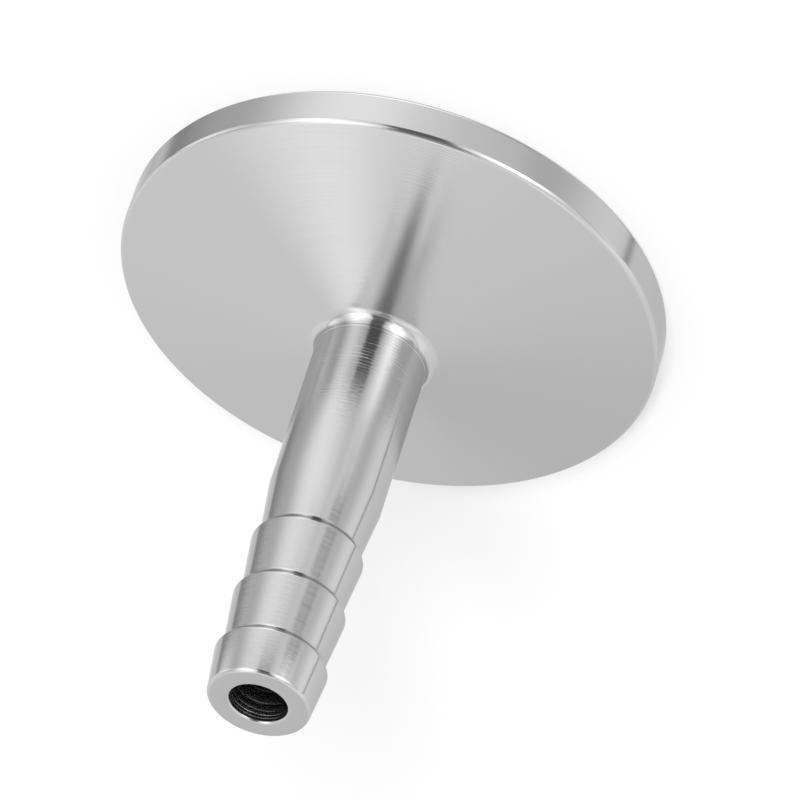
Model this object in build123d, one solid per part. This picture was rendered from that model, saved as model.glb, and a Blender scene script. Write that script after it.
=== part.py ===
from build123d import *

import math
import os

# A hose barb adapter for small-flange vacuum lines, turned from one piece of stainless steel bar.
# The origin is the centre of the sealing face, and +Z runs along the bore towards the barbed tip.
# Sizes are in millimetres and degrees.

# Clamp flange. The rim's thickness is measured to where its edge and the cone would meet.
flange_diameter = 40.0
rim_thickness = 3.0
cone_angle = 15.0
rim_blend = 0.45
face_edge_chamfer = 0.25

# Recess in the sealing face, where the centring ring sits.
recess_diameter = 26.2
recess_depth = 3.0
recess_mouth_chamfer = 0.2

# Plain stem, from the sealing face to the start of the first taper.
stem_diameter = 8.2
stem_height = 21.0
neck_blend = 0.8

# Barbs. Each is cut into the stem's own diameter: a long taper, then a short shoulder to the crest.
barb_count = 3
barb_pitch = 5.0
barb_depth = 0.475
shoulder_angle = 46.0
crest_blend = 0.42

# Nose, from the last crest to the tip.
nose_length = 3.6
nose_depth = 0.4
tip_blend = 0.3

# Bore, straight through.
bore_diameter = 4.2
bore_chamfer = 0.15

flange_radius = flange_diameter / 2
recess_radius = recess_diameter / 2
stem_radius = stem_diameter / 2
root_radius = stem_radius - barb_depth
tip_radius = stem_radius - nose_depth
bore_radius = bore_diameter / 2
last_crest_height = stem_height + barb_count * barb_pitch
overall_length = last_crest_height + nose_length


def flange_corners():
    """The recess, the sealing face, the rim and the clamp cone, up to the neck."""
    neck_height = rim_thickness + (flange_radius - stem_radius) * math.tan(math.radians(cone_angle))
    return [
        (bore_radius + bore_chamfer, recess_depth, 0),
        (recess_radius, recess_depth, 0),
        (recess_radius, recess_mouth_chamfer, 0),
        (recess_radius + recess_mouth_chamfer, 0, 0),
        (flange_radius - face_edge_chamfer, 0, 0),
        (flange_radius, face_edge_chamfer, 0),
        (flange_radius, rim_thickness, rim_blend),
        (stem_radius, neck_height, neck_blend),
    ]


def barb_corners():
    """The stem's end, then the root and the crest of each barb."""
    shoulder_rise = barb_depth / math.tan(math.radians(shoulder_angle))
    taper_angle = math.degrees(math.atan2(barb_depth, barb_pitch - shoulder_rise))
    turn = math.radians(shoulder_angle + taper_angle)
    # The crest's blend runs down the shoulder, so it leaves some of it above the root.
    widest_blend = 0.9 * math.hypot(barb_depth, shoulder_rise) / math.tan(turn / 2)
    corners = [(stem_radius, stem_height, 0)]
    for number in range(1, barb_count + 1):
        crest_height = stem_height + number * barb_pitch
        corners.append((root_radius, crest_height - shoulder_rise, 0))
        corners.append((stem_radius, crest_height, min(crest_blend, widest_blend)))
    return corners


def tip_corners():
    """The tip's outer edge, its face and the bore's two ends."""
    return [
        (tip_radius, overall_length, tip_blend),
        (bore_radius + bore_chamfer, overall_length, 0),
        (bore_radius, overall_length - bore_chamfer, 0),
        (bore_radius, recess_depth + bore_chamfer, 0),
    ]


def half_section(corners):
    """The closed outline on one side of the axis, with its corners blended."""
    points = [(radius, height) for radius, height, blend in corners]
    section = Plane.XZ * make_face(Polyline(*points, close=True))
    for radius, height, blend in corners:
        if blend > 0:
            corner = section.vertices().sort_by_distance((radius, 0, height))[0]
            section = section.face().fillet_2d(blend, [corner])
    return section


def adapter_body():
    """The whole adapter, turned about the bore's axis."""
    return revolve(half_section(flange_corners() + barb_corners() + tip_corners()), Axis.Z)


os.makedirs("parts", exist_ok=True)
body = adapter_body()
body.label = "adapter_body"
export_step(body, "parts/adapter_body.step")
print(f"overall length {overall_length:.1f} mm, volume {body.volume:.0f} cubic mm")
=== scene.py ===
# %% [markdown]
# A hose barb adapter, turned from one bar of stainless steel: a clamp flange
# at one end, and a plain stem with three barbs at the other. Steel has almost
# no colour of its own, so most of its look is the shape of its small blends
# and what they mirror. This lesson therefore spends its time on three things:
# an exact section, fine turning marks, and the studio round the part.

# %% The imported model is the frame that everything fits
import math

import bmesh
import bpy
from mathutils import Matrix, Vector


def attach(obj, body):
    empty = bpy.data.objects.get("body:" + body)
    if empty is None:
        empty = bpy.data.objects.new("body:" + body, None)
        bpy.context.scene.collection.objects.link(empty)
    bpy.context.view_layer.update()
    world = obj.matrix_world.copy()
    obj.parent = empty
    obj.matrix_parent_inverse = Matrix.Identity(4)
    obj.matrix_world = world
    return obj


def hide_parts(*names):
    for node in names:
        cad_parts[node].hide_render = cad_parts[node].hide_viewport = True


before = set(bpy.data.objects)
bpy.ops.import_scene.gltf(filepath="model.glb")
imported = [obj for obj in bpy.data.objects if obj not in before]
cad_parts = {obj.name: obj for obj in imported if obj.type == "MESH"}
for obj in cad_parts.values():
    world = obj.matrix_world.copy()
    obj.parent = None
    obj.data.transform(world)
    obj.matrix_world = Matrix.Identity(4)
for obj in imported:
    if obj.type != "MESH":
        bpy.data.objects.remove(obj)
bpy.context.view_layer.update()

# %% [markdown]
# The sizes are the ones a turner would read off the drawing, in millimetres
# and degrees. Blender works in metres, so they are divided by a thousand where
# the mesh is made. Keeping them in one place means that a change is made once.
# The flange comes first. Its rim is a plain cylinder, and the clamp closes on
# the cone behind it. The neck is where the cone runs into the stem.

# %% Sizes of the flange and the neck
FLANGE_RADIUS = 20.0
RIM_HEIGHT = 3.0
RIM_BLEND = 0.45
EDGE_CHAMFER = 0.25
EDGE_BLEND = 0.4
CONE_ANGLE = 15.35
NECK_BLEND = 1.05
# The neck's tool stops just outside the stem, which leaves a fine line round it.
NECK_STEP = 0.02
NECK_STEP_HEIGHT = 8.2
RECESS_RADIUS = 13.1
RECESS_DEPTH = 3.0
RECESS_CHAMFER = 0.2
RECESS_BLEND = 0.3
print("flange, mm:", 2 * FLANGE_RADIUS, "across, with a rim of", RIM_HEIGHT)

# %% [markdown]
# Each barb is a long taper that lets the hose slide on, and a short shoulder
# that bites when the hose is pulled. The barbs are cut into the stem's own
# diameter, so none of them is wider than the stem. The last taper ends in the
# tip, a narrow flat ring with a rounded edge.

# %% Sizes of the stem, the barbs and the tip
STEM_RADIUS = 4.1
STEM_HEIGHT = 21.0
BARB_COUNT = 3
BARB_PITCH = 5.0
BARB_DEPTH = 0.475
SHOULDER_ANGLE = 42.0
CREST_BLEND = 0.42
ROOT_BLEND = 0.56
NOSE_LENGTH = 3.6
NOSE_DEPTH = 0.4
TIP_BLEND = 0.3
OVERALL = STEM_HEIGHT + BARB_COUNT * BARB_PITCH + NOSE_LENGTH
print("overall height, mm:", OVERALL)

# %% [markdown]
# The bore goes straight through. A drill that chatters leaves a few shallow
# rings just inside the mouth, and they show as thin arcs of light in the dark
# of the bore. They are few and wide enough to be real geometry.

# %% Sizes of the bore
BORE_RADIUS = 2.1
BORE_CHAMFER = 0.15
MOUTH_BLEND = 0.18
DRILL_RINGS = (
    # depth below the tip, width, cut
    (0.35, 0.06, 0.010),
    (0.62, 0.07, 0.014),
    (1.00, 0.06, 0.010),
    (1.65, 0.07, 0.012),
    (2.70, 0.08, 0.010),
)
STEPS_PER_RING = 4
print("bore, mm:", 2 * BORE_RADIUS, "with", len(DRILL_RINGS), "drill rings")

# %% [markdown]
# Node trees are built by script here, and one small helper keeps that short:
# it adds a node, sets its properties, and fills or links its inputs. A value
# that is a socket becomes a link, and anything else becomes a plain setting.
# Clicking the nodes together by hand would look the same, but a script can be
# read from top to bottom and run again.


# %% One helper that adds a node
def add(tree, kind, inputs=(), **settings):
    node = tree.nodes.new(kind)
    for name, value in settings.items():
        setattr(node, name, value)
    for key, value in dict(inputs).items():
        if isinstance(value, bpy.types.NodeSocket):
            tree.links.new(value, node.inputs[key])
        else:
            node.inputs[key].default_value = value
    return node


print("helper ready:", add.__name__)

# %% [markdown]
# A turned part is one half section spun about its axis. The section is kept as
# its sharp corners, each with the radius of its blend, just as a drawing gives
# them. The outline could also be traced as a Bezier curve, but then a blend
# would be a shape to judge by eye and not a size to set. The flange's corners
# run from the sealing face's edge up the rim and the cone to the stem.


# %% Corners of the flange and the stem
def flange_corners():
    neck_radius = STEM_RADIUS + NECK_STEP
    cone_rise = (FLANGE_RADIUS - neck_radius) * math.tan(math.radians(CONE_ANGLE))
    # The step's own corners get only a trace of a blend, so that its line stays thin.
    step_blend = 0.02
    return [
        (FLANGE_RADIUS - EDGE_CHAMFER, 0.0, EDGE_BLEND),
        (FLANGE_RADIUS, EDGE_CHAMFER, EDGE_BLEND),
        (FLANGE_RADIUS, RIM_HEIGHT, RIM_BLEND),
        (neck_radius, RIM_HEIGHT + cone_rise, NECK_BLEND),
        (neck_radius, NECK_STEP_HEIGHT, step_blend),
        (STEM_RADIUS, NECK_STEP_HEIGHT + 0.6 * NECK_STEP, step_blend),
        (STEM_RADIUS, STEM_HEIGHT, 0.0),
    ]


flange = flange_corners()
print("flange corners (radius, height, blend):", len(flange))


# %% Corners of the first barb
def barb_corners():
    shoulder = BARB_DEPTH / math.tan(math.radians(SHOULDER_ANGLE))
    crest_height = STEM_HEIGHT + BARB_PITCH
    return [
        (STEM_RADIUS - BARB_DEPTH, crest_height - shoulder, ROOT_BLEND),
        (STEM_RADIUS, crest_height, CREST_BLEND),
    ]


barb = barb_corners()
print("root and crest, mm:", [(round(r, 3), round(h, 3)) for r, h, _ in barb])


# %% Corners of the tip, the bore and the recess
def inside_corners():
    corners = [
        (STEM_RADIUS - NOSE_DEPTH, OVERALL, TIP_BLEND),
        (BORE_RADIUS, OVERALL, MOUTH_BLEND),
    ]
    for depth, width, cut in DRILL_RINGS:
        for step in range(STEPS_PER_RING + 1):
            share = step / STEPS_PER_RING
            radius = BORE_RADIUS + cut * math.sin(math.pi * share) ** 2
            corners.append((radius, OVERALL - depth - width * share, 0.0))
    corners += [
        (BORE_RADIUS, RECESS_DEPTH + BORE_CHAMFER, 0.0),
        (BORE_RADIUS + BORE_CHAMFER, RECESS_DEPTH, 0.0),
        (RECESS_RADIUS, RECESS_DEPTH, RECESS_BLEND),
        (RECESS_RADIUS, RECESS_CHAMFER, 0.0),
        (RECESS_RADIUS + RECESS_CHAMFER, 0.0, 0.0),
    ]
    return corners


inside = inside_corners()
print("corners from the tip to the sealing face:", len(inside))

# %% [markdown]
# Geometry Nodes read a mesh, so each corner becomes a vertex whose x is its
# radius and whose y is its height. Three attributes go with it: its blend, its
# place in the order round the section, and whether it belongs to the barb that
# repeats. The corners after the barbs are numbered as if all the barbs were
# there already, which leaves room in the order for the copies.

# %% Section handed to the lathe as marked points
corners = flange + barb + inside
first_inside = len(flange) + BARB_COUNT * len(barb)
order = list(range(len(flange) + len(barb))) + [first_inside + i for i in range(len(inside))]
repeats = [len(flange) <= i < len(flange) + len(barb) for i in range(len(corners))]
section = bpy.data.meshes.new("half_section")
section.from_pydata([(radius / 1000, height / 1000, 0.0) for radius, height, _ in corners], [], [])
for name, kind, values in (
    ("blend", "FLOAT", [blend / 1000 for _, _, blend in corners]),
    ("order", "FLOAT", order),
    ("repeats", "BOOLEAN", repeats),
):
    section.attributes.new(name, kind, "POINT").data.foreach_set("value", values)
print("corners:", len(corners), "of which a barb repeats", sum(repeats))

# %% [markdown]
# The lathe is a Geometry Nodes tree with named inputs for its sizes and its
# finishes. Spin or a Screw modifier could turn the same section, but neither
# would repeat the barbs, blend the corners and give out the finishes as well.

# %% Lathe: its inputs and its output
lathe = bpy.data.node_groups.new("lathe_adapter", "GeometryNodeTree")
for name, kind, side in (
    ("Section", "NodeSocketGeometry", "INPUT"),
    ("Barb Count", "NodeSocketInt", "INPUT"),
    ("Barb Pitch", "NodeSocketFloat", "INPUT"),
    ("Steps Around", "NodeSocketInt", "INPUT"),
    ("Steps per Blend", "NodeSocketInt", "INPUT"),
    ("Bore Radius", "NodeSocketFloat", "INPUT"),
    ("Recess Depth", "NodeSocketFloat", "INPUT"),
    ("Rim Radius", "NodeSocketFloat", "INPUT"),
    ("Outside Finish", "NodeSocketMaterial", "INPUT"),
    ("Underside Finish", "NodeSocketMaterial", "INPUT"),
    ("Bore Finish", "NodeSocketMaterial", "INPUT"),
    ("Adapter", "NodeSocketGeometry", "OUTPUT"),
):
    lathe.interface.new_socket(name, in_out=side, socket_type=kind)
given = add(lathe, "NodeGroupInput").outputs
print("lathe sockets:", len(lathe.interface.items_tree))

# %% [markdown]
# The barb's two corners are split from the rest and copied up the stem, one
# copy for each barb. Every copy keeps its number, because its corners have to
# find their place in the order later. A change of the count or the pitch then
# needs no new points.

# %% Lathe: the barbs repeated
is_barb = add(lathe, "GeometryNodeInputNamedAttribute", {"Name": "repeats"}, data_type="BOOLEAN")
split = add(
    lathe,
    "GeometryNodeSeparateGeometry",
    {"Geometry": given["Section"], "Selection": is_barb.outputs["Attribute"]},
)
pitch = add(lathe, "ShaderNodeCombineXYZ", {"Y": given["Barb Pitch"]})
places = add(lathe, "GeometryNodeMeshLine", {"Count": given["Barb Count"], "Offset": pitch.outputs[0]})
copies = add(
    lathe,
    "GeometryNodeInstanceOnPoints",
    {"Points": places.outputs[0], "Instance": split.outputs["Selection"]},
)
number = add(lathe, "GeometryNodeInputIndex")
numbered = add(
    lathe,
    "GeometryNodeStoreNamedAttribute",
    {"Geometry": copies.outputs[0], "Name": "copy", "Value": number.outputs[0]},
    data_type="FLOAT",
    domain="INSTANCE",
)
barbs = add(lathe, "GeometryNodeRealizeInstances", {"Geometry": numbered.outputs[0]})
print("nodes so far:", len(lathe.nodes))

# %% [markdown]
# All the corners are strung into one closed line. Points to Curves takes a
# weight for the order, and a barb's corner adds two places for each copy that
# comes before it. Fillet Curve then gives each corner its own radius, which is
# what a turner's insert or file does to a sharp edge.

# %% Lathe: the corners strung into a line and blended
both = add(lathe, "GeometryNodeJoinGeometry")
lathe.links.new(split.outputs["Inverted"], both.inputs[0])
lathe.links.new(barbs.outputs[0], both.inputs[0])
base_order = add(lathe, "GeometryNodeInputNamedAttribute", {"Name": "order"}, data_type="FLOAT")
copy_number = add(lathe, "GeometryNodeInputNamedAttribute", {"Name": "copy"}, data_type="FLOAT")
place_in_line = add(
    lathe,
    "ShaderNodeMath",
    {0: copy_number.outputs["Attribute"], 1: float(len(barb)), 2: base_order.outputs["Attribute"]},
    operation="MULTIPLY_ADD",
)
points = add(lathe, "GeometryNodeMeshToPoints", {"Mesh": both.outputs[0]})
line = add(
    lathe, "GeometryNodePointsToCurves", {"Points": points.outputs[0], "Weight": place_in_line.outputs[0]}
)
closed = add(lathe, "GeometryNodeSetSplineCyclic", {"Geometry": line.outputs[0], "Cyclic": True})
blend = add(lathe, "GeometryNodeInputNamedAttribute", {"Name": "blend"}, data_type="FLOAT")
rounded = add(
    lathe,
    "GeometryNodeFilletCurve",
    {"Curve": closed.outputs[0], "Count": given["Steps per Blend"], "Radius": blend.outputs["Attribute"]},
    mode="POLY",
)
print("nodes so far:", len(lathe.nodes))

# %% [markdown]
# Now the line is spun. A grid has one row of vertices for each point of the
# section and one column for each step round the axis. From a vertex's number
# come its column, which is an angle, and its row, which is a point of the line.
# The first row and column are there twice, so that the grid meets itself.

# %% Lathe: a row and a column for each vertex
size = add(lathe, "GeometryNodeAttributeDomainSize", {0: rounded.outputs[0]}, component="CURVE")
rows = add(lathe, "ShaderNodeMath", {0: size.outputs["Point Count"], 1: 1.0})
columns = add(lathe, "ShaderNodeMath", {0: given["Steps Around"], 1: 1.0})
grid = add(
    lathe, "GeometryNodeMeshGrid", {"Vertices X": columns.outputs[0], "Vertices Y": rows.outputs[0]}
)
index = add(lathe, "GeometryNodeInputIndex")
column = add(lathe, "ShaderNodeMath", {0: index.outputs[0], 1: rows.outputs[0]}, operation="DIVIDE")
whole = add(lathe, "ShaderNodeMath", {0: column.outputs[0]}, operation="FLOOR")
before = add(lathe, "ShaderNodeMath", {0: whole.outputs[0], 1: rows.outputs[0]}, operation="MULTIPLY")
row = add(lathe, "ShaderNodeMath", {0: index.outputs[0], 1: before.outputs[0]}, operation="SUBTRACT")
wrapped = add(
    lathe, "ShaderNodeMath", {0: row.outputs[0], 1: size.outputs["Point Count"]}, operation="MODULO"
)
print("nodes so far:", len(lathe.nodes))

# %% [markdown]
# Each vertex reads its radius and height from the line and goes to its place
# by plain trigonometry, with the cosine and sine of its angle.

# %% Lathe: every vertex sent to its place
where = add(lathe, "GeometryNodeInputPosition")
on_line = add(
    lathe,
    "GeometryNodeSampleIndex",
    {"Geometry": rounded.outputs[0], "Value": where.outputs[0], "Index": wrapped.outputs[0]},
    data_type="FLOAT_VECTOR",
    domain="POINT",
)
parts = add(lathe, "ShaderNodeSeparateXYZ", {0: on_line.outputs[0]})
share = add(lathe, "ShaderNodeMath", {0: whole.outputs[0], 1: given["Steps Around"]}, operation="DIVIDE")
angle = add(lathe, "ShaderNodeMath", {0: share.outputs[0], 1: math.tau}, operation="MULTIPLY")
cosine = add(lathe, "ShaderNodeMath", {0: angle.outputs[0]}, operation="COSINE")
sine = add(lathe, "ShaderNodeMath", {0: angle.outputs[0]}, operation="SINE")
x = add(lathe, "ShaderNodeMath", {0: parts.outputs["X"], 1: cosine.outputs[0]}, operation="MULTIPLY")
y = add(lathe, "ShaderNodeMath", {0: parts.outputs["X"], 1: sine.outputs[0]}, operation="MULTIPLY")
place = add(lathe, "ShaderNodeCombineXYZ", {"X": x.outputs[0], "Y": y.outputs[0], "Z": parts.outputs["Y"]})
spun = add(
    lathe, "GeometryNodeSetPosition", {"Geometry": grid.outputs["Mesh"], "Position": place.outputs[0]}
)
print("nodes so far:", len(lathe.nodes))

# %% [markdown]
# The doubled row and column are merged, so the body is one closed skin. All of
# it is shaded smooth, and only edges that really are sharp, such as the mouth
# of the recess, are marked. The blends have many small steps and stay smooth.

# %% Lathe: the seam welded and the sharp edges marked
WELD_DISTANCE = 2e-7  # metres, far less than the finest step of the section
SHARP_ANGLE = 25.0
welded = add(lathe, "GeometryNodeMergeByDistance", {"Geometry": spun.outputs[0], "Distance": WELD_DISTANCE})
bend = add(lathe, "GeometryNodeInputMeshEdgeAngle")
is_sharp = add(
    lathe, "FunctionNodeCompare", {"A": bend.outputs["Unsigned Angle"], "B": math.radians(SHARP_ANGLE)}
)
shaded = add(
    lathe,
    "GeometryNodeSetShadeSmooth",
    {"Geometry": welded.outputs[0], "Shade Smooth": True},
    domain="FACE",
)
creased = add(
    lathe,
    "GeometryNodeStoreNamedAttribute",
    {"Geometry": shaded.outputs[0], "Name": "sharp_edge", "Value": is_sharp.outputs[0]},
    data_type="BOOLEAN",
    domain="EDGE",
)
print("nodes so far:", len(lathe.nodes))

# %% [markdown]
# Three tools leave three finishes: the outside is turned, the underside is
# faced, and the bore is drilled. Where a face lies says which it gets: near the
# axis it is bore, and below the recess's floor but inside the rim's edge it is
# underside. Painting faces by hand would be lost with the next change of size.

# %% Lathe: which faces are underside and which are bore
spot = add(lathe, "GeometryNodeInputPosition")
spot_parts = add(lathe, "ShaderNodeSeparateXYZ", {0: spot.outputs[0]})
flat_spot = add(lathe, "ShaderNodeCombineXYZ", {"X": spot_parts.outputs["X"], "Y": spot_parts.outputs["Y"]})
radius = add(lathe, "ShaderNodeVectorMath", {0: flat_spot.outputs[0]}, operation="LENGTH")
below_recess = add(
    lathe, "ShaderNodeMath", {0: spot_parts.outputs["Z"], 1: given["Recess Depth"]}, operation="LESS_THAN"
)
inside_rim = add(
    lathe, "ShaderNodeMath", {0: radius.outputs["Value"], 1: given["Rim Radius"]}, operation="LESS_THAN"
)
underside = add(
    lathe, "ShaderNodeMath", {0: below_recess.outputs[0], 1: inside_rim.outputs[0]}, operation="MULTIPLY"
)
in_bore = add(
    lathe, "ShaderNodeMath", {0: radius.outputs["Value"], 1: given["Bore Radius"]}, operation="LESS_THAN"
)
print("nodes so far:", len(lathe.nodes))

# %% Lathe: a finish for each side
real = add(lathe, "GeometryNodeRealizeInstances", {"Geometry": creased.outputs[0]})
outside_set = add(
    lathe, "GeometryNodeSetMaterial", {"Geometry": real.outputs[0], "Material": given["Outside Finish"]}
)
underside_set = add(
    lathe,
    "GeometryNodeSetMaterial",
    {
        "Geometry": outside_set.outputs[0],
        "Selection": underside.outputs[0],
        "Material": given["Underside Finish"],
    },
)
bore_set = add(
    lathe,
    "GeometryNodeSetMaterial",
    {
        "Geometry": underside_set.outputs[0],
        "Selection": in_bore.outputs[0],
        "Material": given["Bore Finish"],
    },
)
add(lathe, "NodeGroupOutput", {"Adapter": bore_set.outputs[0]})
print("lathe nodes in all:", len(lathe.nodes))

# %% [markdown]
# Colours are given as sRGB hex values, as a paint chart gives them, and one
# function turns them to the linear values that Blender reckons with. Bare
# stainless steel sends back about six tenths of the light that meets it head
# on, and more at a glancing angle, almost evenly over all colours.


# %% Hex colour to linear
def linear(hex_colour):
    levels = [int(hex_colour[i : i + 2], 16) / 255 for i in (1, 3, 5)]
    return [c / 12.92 if c <= 0.04045 else ((c + 0.055) / 1.055) ** 2.4 for c in levels] + [1.0]


STEEL = linear("#cdcdcd")
STEEL_AT_THE_EDGE = linear("#e2e2e2")
WHITE = linear("#ffffff")
print("steel, linear:", [round(c, 3) for c in STEEL[:3]])

# %% [markdown]
# Turning marks follow the path of the tool: along the section, and round the
# axis. So the patterns don't read plain x, y and z, but a path made of them.
# Height less radius grows steadily from the rim to the tip, over the cone and
# up the stem alike. The angle goes in as its cosine and sine, because an angle
# itself jumps from 360 degrees to nothing and would leave a seam.


# %% Where a point lies on the tool's path, in millimetres
def tool_path(tree):
    coords = add(tree, "ShaderNodeTexCoord")
    place = add(
        tree, "ShaderNodeVectorMath", {0: coords.outputs["Object"], "Scale": 1000.0}, operation="SCALE"
    )
    parts = add(tree, "ShaderNodeSeparateXYZ", {0: place.outputs[0]})
    flat = add(tree, "ShaderNodeCombineXYZ", {"X": parts.outputs["X"], "Y": parts.outputs["Y"]})
    radius = add(tree, "ShaderNodeVectorMath", {0: flat.outputs[0]}, operation="LENGTH").outputs["Value"]
    turn = add(tree, "ShaderNodeVectorMath", {0: flat.outputs[0]}, operation="NORMALIZE")
    turn = add(tree, "ShaderNodeSeparateXYZ", {0: turn.outputs[0]})
    along = add(tree, "ShaderNodeMath", {0: parts.outputs["Z"], 1: radius}, operation="SUBTRACT").outputs[0]
    path = add(tree, "ShaderNodeCombineXYZ", {"X": along, "Y": turn.outputs["X"], "Z": turn.outputs["Y"]})
    return radius, along, path.outputs[0]


print("path reads Object coordinates:", tool_path.__name__)

# %% [markdown]
# Feed marks are the ridges that the insert leaves, one for each turn of the
# bar. The real feed is about 0.1 mm, which is too fine to show here, so it is
# drawn two or three times as coarse. A Wave texture gives even ridges, and two
# things keep them from looking printed: the wave is distorted, and a slow
# noise makes some ridges deep and others shallow. They are deepest just above
# the neck, where the tool slows down to turn the corner.

# %% Sizes of the feed marks, in millimetres and in shares of their height
WAVE_REPEAT = 0.314  # a Wave texture of scale 1 repeats this often
RIDGE_DRIFT = 1.5  # how fast a ridge wanders on its way round
DEPTH_PER_MM = 1.6  # the depth changes about every 0.6 mm along the section
DEPTH_PER_RADIAN = 2.0  # and about every half radian round the axis
FAINTEST = 0.15
DEEPEST_AT = 5.6  # height less radius, 9.7 mm up the stem
DEEP_WITHIN = 1.0
FADED_BEYOND = 3.1
LEFT_ELSEWHERE = 0.05
print("marks are deepest", DEEPEST_AT + STEM_RADIUS, "mm above the sealing face")


# %% Feed marks
def feed_marks(tree, along, path, feed, mark_height):
    stretch = (WAVE_REPEAT / feed, RIDGE_DRIFT, RIDGE_DRIFT)
    stretched = add(tree, "ShaderNodeVectorMath", {0: path, 1: stretch}, operation="MULTIPLY")
    ridges = add(
        tree,
        "ShaderNodeTexWave",
        {
            "Vector": stretched.outputs[0],
            "Scale": 1.0,
            "Distortion": 3.0,
            "Detail": 2.0,
            "Detail Scale": 1.5,
        },
        wave_type="BANDS",
        bands_direction="X",
        wave_profile="SIN",
    )
    stretch = (DEPTH_PER_MM, DEPTH_PER_RADIAN, DEPTH_PER_RADIAN)
    stretched = add(tree, "ShaderNodeVectorMath", {0: path, 1: stretch}, operation="MULTIPLY")
    uneven = add(tree, "ShaderNodeTexNoise", {"Vector": stretched.outputs[0], "Scale": 1.0, "Detail": 2.0})
    # A noise is mostly between 0.35 and 0.65, so that range is spread over the full depth.
    depth = add(
        tree,
        "ShaderNodeMapRange",
        {"Value": uneven.outputs[0], "From Min": 0.35, "From Max": 0.65, "To Min": FAINTEST, "To Max": 1.0},
    )
    from_neck = add(tree, "ShaderNodeMath", {0: along, 1: DEEPEST_AT}, operation="SUBTRACT")
    from_neck = add(tree, "ShaderNodeMath", {0: from_neck.outputs[0]}, operation="ABSOLUTE")
    slow = add(
        tree,
        "ShaderNodeMapRange",
        {
            "Value": from_neck.outputs[0],
            "From Min": DEEP_WITHIN,
            "From Max": FADED_BEYOND,
            "To Min": mark_height,
            "To Max": LEFT_ELSEWHERE * mark_height,
        },
        interpolation_type="SMOOTHSTEP",
    )
    marks = add(tree, "ShaderNodeMath", {0: ridges.outputs[0], 1: depth.outputs[0]}, operation="MULTIPLY")
    marks = add(tree, "ShaderNodeMath", {0: marks.outputs[0], 1: slow.outputs[0]}, operation="MULTIPLY")
    return marks.outputs[0]


print("feed marks ready:", feed_marks.__name__)

# %% [markdown]
# Between the feed marks lies a finer pattern: thin rings that run right round,
# and a jagged grain where the insert tears the steel instead of cutting it. A
# noise that is squeezed along the section gives the rings, and one that is
# squeezed round the axis gives the grain. Tearing is worst at a small radius,
# where the steel passes the tool slowly, so the cone has less of it. The last
# taper, beyond the last crest, is turned in a finer cut and is smoother.

# %% Sizes of the rings and the grain, and where the grain changes
RINGS_PER_MM = 8.0  # a ring is 0.125 mm wide
GRAIN_PER_MM = 4.5  # a torn spot is 0.22 mm long
GRAIN_PER_RADIAN = 10.0  # and 0.41 mm wide on the stem
TORN_WITHIN = STEM_RADIUS + 0.5
CLEAN_BEYOND = STEM_RADIUS + 5.0
CONE_SHARE = 0.2  # of the grain's height, left on the cone
LAST_CREST = STEM_HEIGHT + BARB_COUNT * BARB_PITCH - STEM_RADIUS  # height less radius
CREST_FADE = 0.2
LAST_TAPER_SHARE = 0.5
print("last crest, height less radius:", round(LAST_CREST, 2))


# %% Fine rings and torn grain
def rings_and_grain(tree, radius, along, path, grain_height):
    stretch = (RINGS_PER_MM, 1.0, 1.0)
    stretched = add(tree, "ShaderNodeVectorMath", {0: path, 1: stretch}, operation="MULTIPLY")
    rings = add(tree, "ShaderNodeTexNoise", {"Vector": stretched.outputs[0], "Scale": 1.0, "Detail": 2.0})
    stretch = (GRAIN_PER_MM, GRAIN_PER_RADIAN, GRAIN_PER_RADIAN)
    stretched = add(tree, "ShaderNodeVectorMath", {0: path, 1: stretch}, operation="MULTIPLY")
    grain = add(tree, "ShaderNodeTexNoise", {"Vector": stretched.outputs[0], "Scale": 1.0, "Detail": 2.0})
    torn = add(
        tree,
        "ShaderNodeMapRange",
        {
            "Value": radius,
            "From Min": TORN_WITHIN,
            "From Max": CLEAN_BEYOND,
            "To Min": grain_height,
            "To Max": CONE_SHARE * grain_height,
        },
    )
    smoother = add(
        tree,
        "ShaderNodeMapRange",
        {
            "Value": along,
            "From Min": LAST_CREST - CREST_FADE,
            "From Max": LAST_CREST + CREST_FADE,
            "To Min": 1.0,
            "To Max": LAST_TAPER_SHARE,
        },
    )
    torn = add(tree, "ShaderNodeMath", {0: torn.outputs[0], 1: smoother.outputs[0]}, operation="MULTIPLY")
    return rings.outputs[0], grain.outputs[0], torn.outputs[0]


print("rings and grain ready:", rings_and_grain.__name__)

# %% [markdown]
# The steel itself is a Principled shader with full metallic and the default
# IOR. The ridges all run one way, so a highlight is drawn out across them. That
# is what Anisotropic does, with a tangent laid radially about the bore's axis
# and turned a quarter. A texture of hair-fine lines would need far more samples
# for the same look. The pattern's heights go through one Bump node, and the
# rings also make the steel a little duller or brighter.

# %% Turned stainless steel
ROUGHNESS_SWING = 0.02


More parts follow.
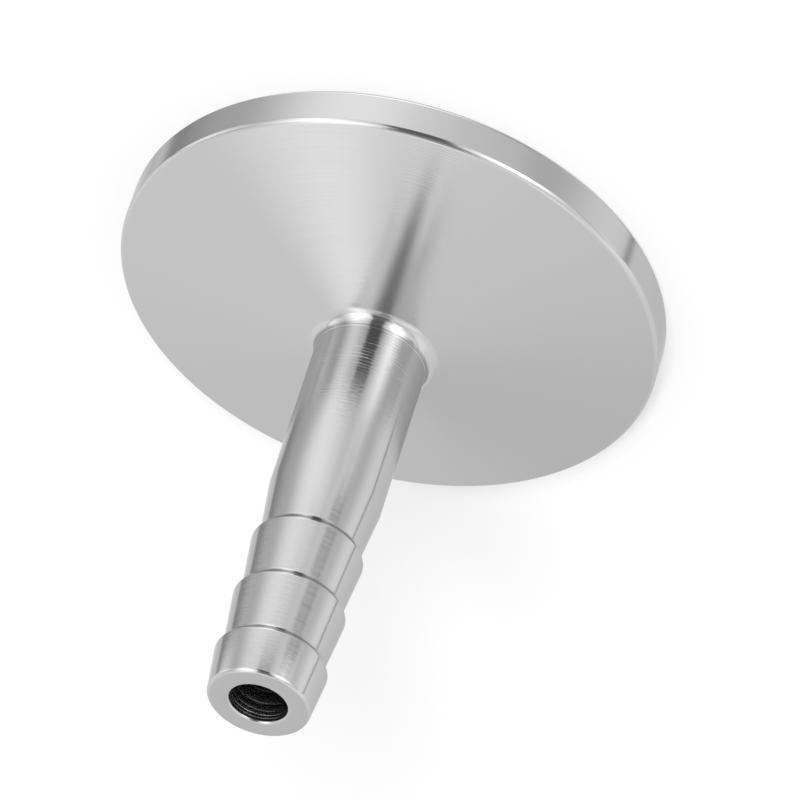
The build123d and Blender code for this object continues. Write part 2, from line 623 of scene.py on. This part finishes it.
def turned_steel(name, roughness, anisotropy, feed, mark_height, ring_height, grain_height):
    material = bpy.data.materials.new(name)
    material.use_nodes = True
    tree = material.node_tree
    surface = tree.nodes["Principled BSDF"]
    surface.inputs["Base Color"].default_value = STEEL
    surface.inputs["Metallic"].default_value = 1.0
    surface.inputs["Specular Tint"].default_value = STEEL_AT_THE_EDGE
    surface.inputs["Anisotropic"].default_value = anisotropy
    surface.inputs["Anisotropic Rotation"].default_value = 0.25
    lay = add(tree, "ShaderNodeTangent", direction_type="RADIAL", axis="Z")
    tree.links.new(lay.outputs[0], surface.inputs["Tangent"])
    radius, along, path = tool_path(tree)
    marks = feed_marks(tree, along, path, feed, mark_height)
    rings, grain, torn = rings_and_grain(tree, radius, along, path, grain_height)
    height = add(tree, "ShaderNodeMath", {0: rings, 1: ring_height, 2: marks}, operation="MULTIPLY_ADD")
    height = add(tree, "ShaderNodeMath", {0: grain, 1: torn, 2: height.outputs[0]}, operation="MULTIPLY_ADD")
    # The heights are in millimetres, so the bump's distance is one millimetre.
    bump = add(tree, "ShaderNodeBump", {"Height": height.outputs[0], "Distance": 0.001, "Strength": 1.0})
    tree.links.new(bump.outputs[0], surface.inputs["Normal"])
    dull = add(
        tree,
        "ShaderNodeMapRange",
        {
            "Value": rings,
            "From Min": 0.3,
            "From Max": 0.7,
            "To Min": roughness - ROUGHNESS_SWING,
            "To Max": roughness + ROUGHNESS_SWING,
        },
    )
    tree.links.new(dull.outputs[0], surface.inputs["Roughness"])
    return material


print("turned steel ready:", turned_steel.__name__)

# %% [markdown]
# The outside has a fine turned finish: the eye sees clear panels of light drawn
# out across the marks. The underside is faced with a slower tool and is duller,
# with rings about the bore. The bore is drilled, and its wall mirrors itself
# over and over, so it looks nearly black, with thin arcs where its rings catch
# the light.

# %% The three finishes
FINISHES = (
    # name, roughness, anisotropy, feed, mark height, ring height, grain height (the last four in mm)
    ("turned_stainless_steel", 0.16, 0.8, 0.28, 0.0115, 0.001, 0.005),
    ("faced_stainless_steel", 0.25, 0.7, 0.20, 0.006, 0.004, 0.004),
    ("drilled_stainless_steel", 0.20, 0.6, 0.35, 0.02, 0.002, 0.001),
)
outside_finish, underside_finish, bore_finish = [turned_steel(*finish) for finish in FINISHES]
print("finishes:", [material.name for material in (outside_finish, underside_finish, bore_finish)])

# %% [markdown]
# The section gets the lathe as a modifier, and each input is set by its socket's
# identifier before anything is worked out. 400 steps round the axis keep the
# flange's edge round when seen close up. Weighted normals then keep the large
# flats true beside the narrow blends, where plain smooth shading would bulge.
# The result is taken out as a plain mesh, and the blank goes. Its first material
# slot is the empty one of the blank, so that goes too.

# %% Values for the lathe
STEPS_AROUND = 400
STEPS_PER_BLEND = 12
LATHE_VALUES = (
    ("Barb Count", BARB_COUNT),
    ("Barb Pitch", BARB_PITCH / 1000),
    ("Steps Around", STEPS_AROUND),
    ("Steps per Blend", STEPS_PER_BLEND),
    ("Bore Radius", (BORE_RADIUS + BORE_CHAMFER) / 1000),
    # A thousandth more than the recess's depth, so that its floor counts as underside.
    ("Recess Depth", (RECESS_DEPTH + 0.001) / 1000),
    ("Rim Radius", (FLANGE_RADIUS - EDGE_CHAMFER) / 1000),
    ("Outside Finish", outside_finish),
    ("Underside Finish", underside_finish),
    ("Bore Finish", bore_finish),
)
print("values for the lathe:", len(LATHE_VALUES))


# %% Spin the adapter
def spin_adapter():
    blank = bpy.data.objects.new("adapter_blank", section)
    bpy.context.scene.collection.objects.link(blank)
    modifier = blank.modifiers.new("lathe", "NODES")
    modifier.node_group = lathe
    sockets = lathe.interface.items_tree
    for name, value in LATHE_VALUES:
        modifier[sockets[name].identifier] = value
    smooth = blank.modifiers.new("weighted_normals", "WEIGHTED_NORMAL")
    smooth.keep_sharp = True
    evaluated = blank.evaluated_get(bpy.context.evaluated_depsgraph_get())
    mesh = bpy.data.meshes.new_from_object(evaluated)
    bpy.data.objects.remove(blank)
    mesh.materials.pop(index=0)
    return mesh


mesh = spin_adapter()
for number, material in enumerate(mesh.materials):
    print(material.name, "faces:", sum(1 for face in mesh.polygons if face.material_index == number))

# %% [markdown]
# A mesh for a part has to be a closed skin whose faces point outwards. Its
# signed volume is a quick test of both: it is positive only if the faces point
# out, and it comes near the solid's own volume only if nothing is missing.

# %% Test of the mesh
probe = bmesh.new()
probe.from_mesh(mesh)
volume = probe.calc_volume(signed=True) * 1e9
open_edges = sum(1 for edge in probe.edges if not edge.is_manifold)
probe.free()
print("faces:", len(mesh.polygons), "volume mm3:", round(volume, 1), "open edges:", open_edges)

# %% [markdown]
# The whole adapter is one piece of steel, so it is one object at the origin,
# with its place in its mesh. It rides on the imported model's only body and takes
# the place of its only node.

# %% Adapter
adapter = bpy.data.objects.new("turned_adapter", mesh)
bpy.context.scene.collection.objects.link(adapter)
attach(adapter, "root")
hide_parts("adapter_body")
print("adapter size, mm:", [round(d * 1000, 2) for d in adapter.dimensions])

# %% [markdown]
# The adapter stands on its sealing face on a white floor. A white floor under
# full light would throw so much light about that it hides its own shadow. So
# this one is a middle grey that takes the shadow, with a glow that only the
# camera sees and that lifts it to exactly white. The floor is left out of the
# mirror images and casts no shadow of its own, because the painted studio
# below already holds the white ground that the steel mirrors.

# %% Floor
FLOOR_HEIGHT = -0.02
FLOOR_REACH = 2.0
FLOOR_GLOW = 0.597
floor_mesh = bpy.data.meshes.new("floor")
floor_corners = [(x * FLOOR_REACH, y * FLOOR_REACH) for x, y in ((-1, -1), (1, -1), (1, 1), (-1, 1))]
floor_mesh.from_pydata([(x, y, FLOOR_HEIGHT / 1000) for x, y in floor_corners], [], [(0, 1, 2, 3)])
floor = bpy.data.objects.new("floor", floor_mesh)
bpy.context.scene.collection.objects.link(floor)
floor.visible_glossy = False
floor.visible_shadow = False
print("floor at z, mm:", round(floor_mesh.vertices[0].co.z * 1000, 3))

# %% Floor's paint
floor_paint = bpy.data.materials.new("matt_white_floor")
floor_paint.use_nodes = True
tree = floor_paint.node_tree
tree.nodes.clear()
matt = add(tree, "ShaderNodeBsdfDiffuse", {"Color": linear("#808080")})
path = add(tree, "ShaderNodeLightPath")
glow = add(tree, "ShaderNodeMath", {0: path.outputs["Is Camera Ray"], 1: FLOOR_GLOW}, operation="MULTIPLY")
white = add(tree, "ShaderNodeEmission", {"Color": WHITE, "Strength": glow.outputs[0]})
both_shaders = add(tree, "ShaderNodeAddShader", {0: matt.outputs[0], 1: white.outputs[0]})
add(tree, "ShaderNodeOutputMaterial", {"Surface": both_shaders.outputs[0]})
floor_mesh.materials.append(floor_paint)
print("floor paint nodes:", len(tree.nodes))

# %% [markdown]
# Polished metal shows its surroundings more than itself, so the studio decides
# the look. Area lamps and cards could stand round the part, but here they are
# painted on the world, by direction: a bright wall, softboxes, a black slot
# where the camera stands, and a white ground with its shaded sides. A panel
# is a rectangle with soft edges, and each is painted over those before it.
# Azimuth 0 is the camera's side, 90 is along X, and height is the angle above
# level. A panel can lean, so that its middle drifts sideways as it rises.

# %% Panels of the studio, in degrees
WALL = 0.91
PANELS = (
    # name, azimuth, half width, height, half height, side edge, top edge, lean, strength
    ("under_shade", 180, 24.0, -54, 14.0, 6.0, 5.0, 0.00, 0.15),
    ("low_glow", 41, 43.5, -62, 16.5, 10.1, 5.1, 1.54, 1.77),
    ("ceiling_glow", 85, 36.6, -53, 28.8, 18.6, 3.1, -1.99, 1.19),
    ("dim_left_wall", 64, 31.8, 14, 71.3, 26.0, 1.2, -0.71, 0.57),
    ("ground_right", -134, 39.9, -40, 13.9, 2.7, 4.0, 0.60, 0.85),
    ("right_edge", -80, 12.4, 12, 39.3, 24.4, 19.8, -0.16, 1.20),
    ("dark_corner", 145, 18.7, -41, 18.8, 26.0, 1.1, -2.00, 0.23),
    ("ground_left", 148, 4.5, -45, 19.3, 8.3, 2.1, -1.03, 1.01),
    ("dim_right_wall", -41, 22.0, -46, 30.4, 26.0, 5.7, 0.29, 0.50),
    ("far_strip", 144, 20.4, -10, 29.6, 13.3, 4.1, -0.75, 1.02),
    ("low_panel", 95, 16.4, -5, 20.6, 16.4, 2.1, -0.36, 1.28),
    ("right_shade", -64, 7.0, -8, 7.3, 7.3, 1.5, -0.15, 0.45),
    ("back_glow", 176, 25.8, 73, 13.2, 17.6, 11.2, 0.60, 1.76),
    ("back_shade", -169, 22.4, 41, 31.8, 17.1, 3.1, -0.36, 0.75),
    ("low_right_shade", -49, 10.7, -69, 10.6, 5.7, 7.1, -0.17, 0.34),
    ("right_top", -77, 58.5, 64, 5.5, 15.2, 3.1, 1.04, 1.04),
    ("right_softbox", -30, 12.0, -4, 29.3, 13.4, 8.3, 0.01, 2.60),
    ("right_softbox_top", -16, 24.3, 36, 4.4, 4.2, 2.6, 0.04, 1.80),
    ("left_low", 47, 13.3, 3, 17.6, 13.9, 4.9, -0.03, 1.61),
    ("left_softbox", 49, 20.2, 41, 20.6, 20.6, 19.0, 0.16, 2.26),
    ("left_top", 87, 33.5, 67, 5.1, 17.8, 7.4, 0.83, 1.72),
    ("camera_slot", 8, 12.8, 9, 26.9, 3.5, 1.3, -0.08, 0.14),
    ("slot_top", 5, 20.5, 47, 11.8, 1.6, 4.8, 0.29, 0.14),
    ("top_shade", -2, 25.2, 78, 8.0, 7.4, 4.2, 0.18, 0.22),
    ("right_gap", -31, 15.9, -25, 7.0, 9.8, 5.0, 0.31, 0.20),
    ("right_high", -75, 38.0, 67, 4.5, 12.0, 2.5, 0.00, 1.25),
)
print("studio panels:", len(PANELS), "brightest:", max(PANELS, key=lambda panel: panel[-1])[0])

# %% [markdown]
# For the world, a texture coordinate named Generated is simply the direction
# that is looked in. Its azimuth and height come from it by an arctangent and an
# arcsine, both turned to degrees, so that they read like the list above.

# %% World: direction as azimuth and height
world = bpy.data.worlds.new("studio")
bpy.context.scene.world = world
world.use_nodes = True
tree = world.node_tree
tree.nodes.clear()
direction = add(tree, "ShaderNodeTexCoord").outputs["Generated"]
parts = add(tree, "ShaderNodeSeparateXYZ", {0: direction})
front = add(tree, "ShaderNodeMath", {0: parts.outputs["Y"], 1: -1.0}, operation="MULTIPLY")
azimuth = add(tree, "ShaderNodeMath", {0: parts.outputs["X"], 1: front.outputs[0]}, operation="ARCTAN2")
azimuth = add(tree, "ShaderNodeMath", {0: azimuth.outputs[0]}, operation="DEGREES").outputs[0]
height = add(tree, "ShaderNodeMath", {0: parts.outputs["Z"]}, operation="ARCSINE")
height = add(tree, "ShaderNodeMath", {0: height.outputs[0]}, operation="DEGREES").outputs[0]
print("direction nodes:", len(tree.nodes))

# %% [markdown]
# Each panel has a mask that is 1 inside and fades to 0 over its edge, once
# across and once up. The azimuth is wrapped, so that a panel behind the part
# isn't cut at 180 degrees. A Mix node lays the panel over what is there.


# %% World: one panel laid over the rest
def lay_panel(level, centre, half_width, mid_height, half_height, side_edge, top_edge, lean, strength):
    start = centre - lean * mid_height
    leaning = add(tree, "ShaderNodeMath", {0: height, 1: -lean, 2: -start}, operation="MULTIPLY_ADD")
    aside = add(tree, "ShaderNodeMath", {0: azimuth, 1: leaning.outputs[0]})
    aside = add(tree, "ShaderNodeMath", {0: aside.outputs[0], 1: 180.0, 2: -180.0}, operation="WRAP")
    above = add(tree, "ShaderNodeMath", {0: height, 1: float(mid_height)}, operation="SUBTRACT")
    masks = []
    for off, half, edge in ((aside, half_width, side_edge), (above, half_height, top_edge)):
        off = add(tree, "ShaderNodeMath", {0: off.outputs[0]}, operation="ABSOLUTE")
        fade = add(
            tree,
            "ShaderNodeMapRange",
            {
                "Value": off.outputs[0],
                "From Min": half - edge,
                "From Max": half + edge,
                "To Min": 1.0,
                "To Max": 0.0,
            },
            interpolation_type="SMOOTHSTEP",
        )
        masks.append(fade.outputs[0])
    mask = add(tree, "ShaderNodeMath", {0: masks[0], 1: masks[1]}, operation="MULTIPLY")
    mixed = add(
        tree, "ShaderNodeMix", {"Factor": mask.outputs[0], "A": level, "B": strength}, data_type="FLOAT"
    )
    return mixed.outputs[0]


level = WALL
for panel in PANELS:
    level = lay_panel(level, *panel[1:])
print("world nodes with all panels:", len(tree.nodes))

# %% [markdown]
# The far edge of the white ground is a thin darker line round half the studio.
# That ground is tilted, and its edge is its horizon, which is wherever the
# direction is square to the ground's own way down. The camera itself looks past
# all this and sees plain white, so the background stays clean.

# %% World: the ground's far edge, and white for the camera
GROUND_DOWN = (-0.2027, 0.8780, 0.4337)
EDGE_LEVEL = 0.4
# Both are the sine of the angle off the horizon.
FULL_WITHIN = 0.008
GONE_BEYOND = 0.04
below = add(tree, "ShaderNodeVectorMath", {0: direction, 1: GROUND_DOWN}, operation="DOT_PRODUCT")
off = add(tree, "ShaderNodeMath", {0: below.outputs["Value"]}, operation="ABSOLUTE")
line = add(
    tree,
    "ShaderNodeMapRange",
    {
        "Value": off.outputs[0],
        "From Min": FULL_WITHIN,
        "From Max": GONE_BEYOND,
        "To Min": 1.0,
        "To Max": 0.0,
    },
    interpolation_type="SMOOTHSTEP",
)
edged = add(
    tree, "ShaderNodeMix", {"Factor": line.outputs[0], "A": level, "B": EDGE_LEVEL}, data_type="FLOAT"
)
path = add(tree, "ShaderNodeLightPath")
seen = add(
    tree,
    "ShaderNodeMix",
    {"Factor": path.outputs["Is Camera Ray"], "A": edged.outputs[0], "B": 1.0},
    data_type="FLOAT",
)
studio = add(tree, "ShaderNodeBackground", {"Color": WHITE, "Strength": seen.outputs[0]})
add(tree, "ShaderNodeOutputWorld", {"Surface": studio.outputs[0]})
print("world nodes:", len(tree.nodes))

# %% [markdown]
# The world alone gives the floor hardly any shadow, because it shines from all
# sides. Two soft suns add it: a high one for the shadow beside the flange, and
# a low one that carries the stem's shadow on towards the tip. They are hidden
# from mirror images, so they light the floor and leave the steel alone.

# %% Lamps for the shadow
LAMP_SPREAD = 12.0
LAMPS = (
    # name, azimuth, height, strength
    ("high_lamp", 22, 50, 1.8),
    ("low_lamp", 7, 33, 3.0),
)
for name, azimuth, height, strength in LAMPS:
    lamp = bpy.data.lights.new(name, "SUN")
    lamp.energy = strength
    lamp.angle = math.radians(LAMP_SPREAD)
    lamp_object = bpy.data.objects.new(name, lamp)
    bpy.context.scene.collection.objects.link(lamp_object)
    azimuth = math.radians(azimuth)
    height = math.radians(height)
    towards_lamp = Vector(
        (math.sin(azimuth) * math.cos(height), -math.cos(azimuth) * math.cos(height), math.sin(height))
    )
    lamp_object.rotation_euler = (-towards_lamp).to_track_quat("-Z", "Y").to_euler()
    lamp_object.visible_glossy = False
    print(name, "stands towards", [round(c, 2) for c in towards_lamp])

# %% [markdown]
# The camera stands far off with a long lens, so lines stay nearly parallel. It
# looks down on the cone, and it is rolled until the stem points down and to the
# left. The three axes say where its right, its up and its back point. Standard
# view transform keeps white at white.

# %% Camera
CAMERA_PLACE = (-0.002893, -0.454997, 0.357408)
camera = bpy.data.cameras.new("camera")
camera.lens = 360
camera.sensor_width = 36
camera_object = bpy.data.objects.new("camera", camera)
bpy.context.scene.collection.objects.link(camera_object)
right = Vector((-0.95156, -0.18640, -0.24452))
up = Vector((0.30747, -0.57688, -0.75675))
back = Vector((0.0, -0.79528, 0.60624))
axes = Matrix((right, up, back)).transposed().to_4x4()
camera_object.matrix_world = Matrix.Translation(CAMERA_PLACE) @ axes
bpy.context.scene.camera = camera_object
bpy.context.scene.view_settings.view_transform = "Standard"
print("camera distance, mm:", round(camera_object.location.length * 1000, 1))
